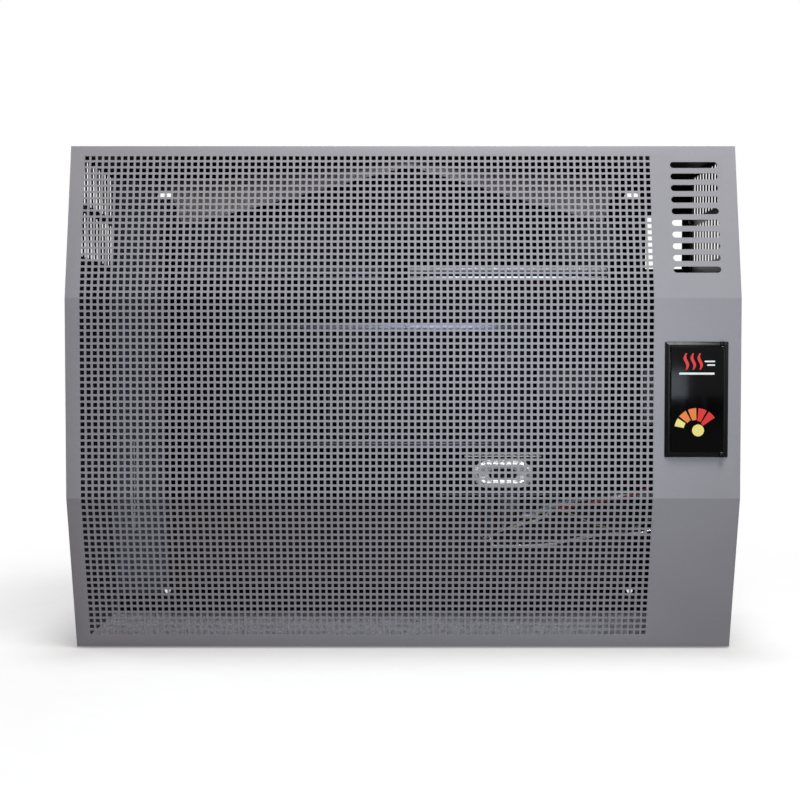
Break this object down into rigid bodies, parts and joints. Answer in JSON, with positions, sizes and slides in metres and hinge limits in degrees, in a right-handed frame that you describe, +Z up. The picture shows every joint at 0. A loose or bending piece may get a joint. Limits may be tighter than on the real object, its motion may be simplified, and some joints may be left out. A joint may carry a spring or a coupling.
{
  "type": "wall mounted gas heater",
  "caption": "Balanced-flue gas convector with a perforated grey casing bent in facets, side vents, an access door over the controls, and a sealed exchanger inside.",
  "frame": {"origin": "on the wall plane, at the middle of the casing's width and height", "axes": "+X to the right of a person facing the heater, +Y into the wall, +Z up; the front faces -Y"},
  "size_m": [0.8396, 0.258, 0.6366],
  "materials": {
    "casing_paint": "satin grey powder coat",
    "zinc_steel": "zinc plated",
    "black_frame": "satin black",
    "black_gloss": "black gloss",
    "dark_plastic": "dark moulded plastic",
    "frame_steel": "grey primer",
    "shield_steel": "heat-tinted grey",
    "exchanger_enamel": "blue-grey stove paint",
    "scorched_steel": "heat-darkened sheet",
    "gasket_fibre": "ceramic fibre",
    "cast_cover": "blue-grey stove paint on a casting",
    "plain_steel": "plain sheet",
    "sight_glass": "clear mica glass",
    "bright_aluminium": "bright drawn",
    "deflector_paint": "pale warm grey",
    "burner_steel": "heat-dulled tube",
    "brass_fitting": "machined brass",
    "copper_alloy": "drawn copper",
    "olive_sleeve": "woven insulation",
    "white_ceramic": "glazed ceramic",
    "red_sleeve": "red silicone sleeve",
    "cast_aluminium": "cast and tumbled",
    "pale_plastic": "moulded plastic",
    "red_plastic": "moulded plastic"
  },
  "bodies": {
    "heater": {"front_panel": "casing_paint", "left_side_panel": "casing_paint", "right_side_panel": "casing_paint", "top_panel": "casing_paint", "bottom_panel": "casing_paint", "casing_screws": "zinc_steel", "door_frame": "black_frame", "door_hinge_pins": "zinc_steel", "door_catch": "dark_plastic", "rear_panel": "frame_steel", "hanging_rail": "frame_steel", "lower_rail": "frame_steel", "radiation_shield": "shield_steel", "casing_clip": "zinc_steel", "exchanger_rear_shell": "exchanger_enamel", "exchanger_front_shell": "exchanger_enamel", "exchanger_brackets": "zinc_steel", "flue_baffle": "scorched_steel", "left_convector_plate": "exchanger_enamel", "right_convector_plate": "exchanger_enamel", "cover_gasket": "gasket_fibre", "finned_cover": "cast_cover", "cover_bolts": "zinc_steel", "port_cover": "plain_steel", "sight_gasket": "gasket_fibre", "sight_frame": "plain_steel", "sight_glass": "sight_glass", "sight_ring": "bright_aluminium", "sight_screws": "zinc_steel", "flue_gasket": "gasket_fibre", "flue_spigot": "bright_aluminium", "air_box": "frame_steel", "air_collar": "frame_steel", "left_deflector": "deflector_paint", "right_deflector": "deflector_paint", "deflector_brackets": "zinc_steel", "burner_carrier": "zinc_steel", "main_burner": "burner_steel", "gas_injector": "brass_fitting", "pilot_burner": "zinc_steel", "thermocouple": "copper_alloy", "thermocouple_lead": "olive_sleeve", "ignition_electrode": "white_ceramic", "ignition_lead": "red_sleeve", "pilot_tube": "bright_aluminium", "main_gas_tube": "bright_aluminium", "gas_valve": "cast_aluminium", "valve_bracket": "zinc_steel", "igniter_body": "dark_plastic", "igniter_bracket": "zinc_steel", "inlet_pipe": "zinc_steel", "inlet_nut": "brass_fitting", "thermostat_bulb": "copper_alloy", "capillary_tube": "copper_alloy", "bulb_clips": "zinc_steel"},
    "door": {"access_door": "black_gloss"},
    "plunger": {"valve_plunger": "brass_fitting"},
    "knob": {"valve_spindle": "zinc_steel", "control_knob": "pale_plastic"},
    "button": {"igniter_button": "red_plastic"}
  },
  "joints": [
    {"name": "access_door_hinge", "type": "hinge", "parent": "heater", "child": "door", "pos_m": [0.39325, -0.256, 0], "axis": [0, 0, 1], "range_deg": [0, 110]},
    {"name": "spindle_push", "type": "slide", "parent": "heater", "child": "plunger", "axis": [0, 1, 0], "range_m": [0, 0.005], "stiffness_N_per_m": 1000, "springref_m": -0.004},
    {"name": "knob_turn", "type": "hinge", "parent": "plunger", "child": "knob", "pos_m": [0.3625, -0.235, 0.008], "axis": [0, -1, 0], "range_deg": [0, 270]},
    {"name": "igniter_press", "type": "slide", "parent": "heater", "child": "button", "axis": [0, 1, 0], "range_m": [0, 0.006], "stiffness_N_per_m": 1000, "springref_m": -0.004}
  ]
}
